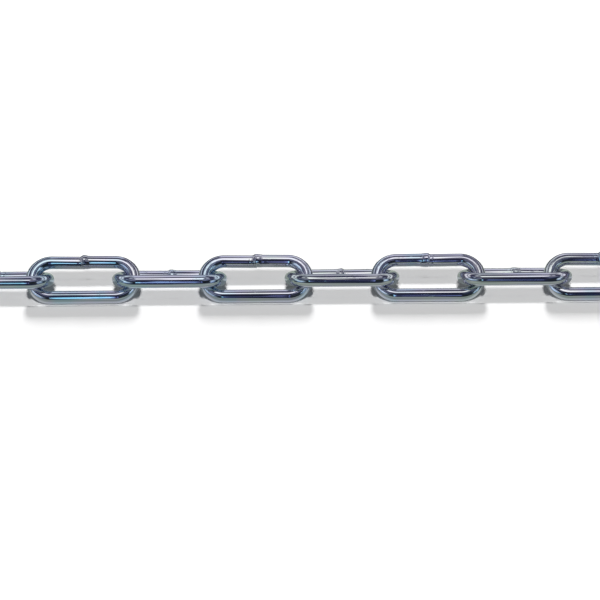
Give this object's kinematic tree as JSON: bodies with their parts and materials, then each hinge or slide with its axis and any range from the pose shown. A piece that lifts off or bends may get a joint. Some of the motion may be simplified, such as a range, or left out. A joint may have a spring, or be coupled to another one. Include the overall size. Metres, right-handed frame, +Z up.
{
  "type": "length of long-link steel chain",
  "caption": "Straight run of welded round-steel chain: long oval links of bright zinc-plated wire, hooked crown to crown and leaning alternately to either side.",
  "frame": {"origin": "on the floor under the middle of the chain's length", "axes": "+X along the chain, +Z up from the floor, the welded legs of all links on the +Y side"},
  "size_m": [0.9854, 0.0222, 0.0152],
  "materials": {
    "zinc_plated_steel": "bright, bluish electroplated zinc over drawn steel wire, mirror-like with faint drawing lines"
  },
  "bodies": {
    "link_01": {"link_01": "zinc_plated_steel"},
    "link_02": {"link_02": "zinc_plated_steel"},
    "link_03": {"link_03": "zinc_plated_steel"},
    "link_04": {"link_04": "zinc_plated_steel"},
    "link_05": {"link_05": "zinc_plated_steel"},
    "link_06": {"link_06": "zinc_plated_steel"},
    "link_07": {"link_07": "zinc_plated_steel"},
    "link_08": {"link_08": "zinc_plated_steel"},
    "link_09": {"link_09": "zinc_plated_steel"},
    "link_10": {"link_10": "zinc_plated_steel"},
    "link_11": {"link_11": "zinc_plated_steel"},
    "link_12": {"link_12": "zinc_plated_steel"},
    "link_13": {"link_13": "zinc_plated_steel"},
    "link_14": {"link_14": "zinc_plated_steel"},
    "link_15": {"link_15": "zinc_plated_steel"},
    "link_16": {"link_16": "zinc_plated_steel"},
    "link_17": {"link_17": "zinc_plated_steel"},
    "link_18": {"link_18": "zinc_plated_steel"},
    "link_19": {"link_19": "zinc_plated_steel"},
    "link_20": {"link_20": "zinc_plated_steel"},
    "link_21": {"link_21": "zinc_plated_steel"},
    "link_22": {"link_22": "zinc_plated_steel"},
    "link_23": {"link_23": "zinc_plated_steel"},
    "link_24": {"link_24": "zinc_plated_steel"}
  },
  "joints": [
    {"name": "link_02_swing", "type": "hinge", "parent": "link_01", "child": "link_02", "pos_m": [-0.44115, 0, 0.00719], "axis": [0, -0.4772, 0.8788], "range_deg": [-90, 90]},
    {"name": "link_03_swing", "type": "hinge", "parent": "link_02", "child": "link_03", "pos_m": [-0.40065, 0, 0.00719], "axis": [0, 0.4772, 0.8788], "range_deg": [-90, 90]},
    {"name": "link_04_swing", "type": "hinge", "parent": "link_03", "child": "link_04", "pos_m": [-0.36015, 0, 0.00719], "axis": [0, 0.4772, -0.8788], "range_deg": [-90, 90]},
    {"name": "link_05_swing", "type": "hinge", "parent": "link_04", "child": "link_05", "pos_m": [-0.31965, 0, 0.00719], "axis": [0, -0.4772, -0.8788], "range_deg": [-90, 90]},
    {"name": "link_06_swing", "type": "hinge", "parent": "link_05", "child": "link_06", "pos_m": [-0.27915, 0, 0.00719], "axis": [0, -0.4772, 0.8788], "range_deg": [-90, 90]},
    {"name": "link_07_swing", "type": "hinge", "parent": "link_06", "child": "link_07", "pos_m": [-0.23865, 0, 0.00719], "axis": [0, 0.4772, 0.8788], "range_deg": [-90, 90]},
    {"name": "link_08_swing", "type": "hinge", "parent": "link_07", "child": "link_08", "pos_m": [-0.19815, 0, 0.00719], "axis": [0, 0.4772, -0.8788], "range_deg": [-90, 90]},
    {"name": "link_09_swing", "type": "hinge", "parent": "link_08", "child": "link_09", "pos_m": [-0.15765, 0, 0.00719], "axis": [0, -0.4772, -0.8788], "range_deg": [-90, 90]},
    {"name": "link_10_swing", "type": "hinge", "parent": "link_09", "child": "link_10", "pos_m": [-0.11715, 0, 0.00719], "axis": [0, -0.4772, 0.8788], "range_deg": [-90, 90]},
    {"name": "link_11_swing", "type": "hinge", "parent": "link_10", "child": "link_11", "pos_m": [-0.07665, 0, 0.00719], "axis": [0, 0.4772, 0.8788], "range_deg": [-90, 90]},
    {"name": "link_12_swing", "type": "hinge", "parent": "link_11", "child": "link_12", "pos_m": [-0.03615, 0, 0.00719], "axis": [0, 0.4772, -0.8788], "range_deg": [-90, 90]},
    {"name": "link_13_swing", "type": "hinge", "parent": "link_12", "child": "link_13", "pos_m": [0.00435, 0, 0.00719], "axis": [0, -0.4772, -0.8788], "range_deg": [-90, 90]},
    {"name": "link_14_swing", "type": "hinge", "parent": "link_13", "child": "link_14", "pos_m": [0.04485, 0, 0.00719], "axis": [0, -0.4772, 0.8788], "range_deg": [-90, 90]},
    {"name": "link_15_swing", "type": "hinge", "parent": "link_14", "child": "link_15", "pos_m": [0.08535, 0, 0.00719], "axis": [0, 0.4772, 0.8788], "range_deg": [-90, 90]},
    {"name": "link_16_swing", "type": "hinge", "parent": "link_15", "child": "link_16", "pos_m": [0.12585, 0, 0.00719], "axis": [0, 0.4772, -0.8788], "range_deg": [-90, 90]},
    {"name": "link_17_swing", "type": "hinge", "parent": "link_16", "child": "link_17", "pos_m": [0.16635, 0, 0.00719], "axis": [0, -0.4772, -0.8788], "range_deg": [-90, 90]},
    {"name": "link_18_swing", "type": "hinge", "parent": "link_17", "child": "link_18", "pos_m": [0.20685, 0, 0.00719], "axis": [0, -0.4772, 0.8788], "range_deg": [-90, 90]},
    {"name": "link_19_swing", "type": "hinge", "parent": "link_18", "child": "link_19", "pos_m": [0.24735, 0, 0.00719], "axis": [0, 0.4772, 0.8788], "range_deg": [-90, 90]},
    {"name": "link_20_swing", "type": "hinge", "parent": "link_19", "child": "link_20", "pos_m": [0.28785, 0, 0.00719], "axis": [0, 0.4772, -0.8788], "range_deg": [-90, 90]},
    {"name": "link_21_swing", "type": "hinge", "parent": "link_20", "child": "link_21", "pos_m": [0.32835, 0, 0.00719], "axis": [0, -0.4772, -0.8788], "range_deg": [-90, 90]},
    {"name": "link_22_swing", "type": "hinge", "parent": "link_21", "child": "link_22", "pos_m": [0.36885, 0, 0.00719], "axis": [0, -0.4772, 0.8788], "range_deg": [-90, 90]},
    {"name": "link_23_swing", "type": "hinge", "parent": "link_22", "child": "link_23", "pos_m": [0.40935, 0, 0.00719], "axis": [0, 0.4772, 0.8788], "range_deg": [-90, 90]},
    {"name": "link_24_swing", "type": "hinge", "parent": "link_23", "child": "link_24", "pos_m": [0.44985, 0, 0.00719], "axis": [0, 0.4772, -0.8788], "range_deg": [-90, 90]}
  ]
}
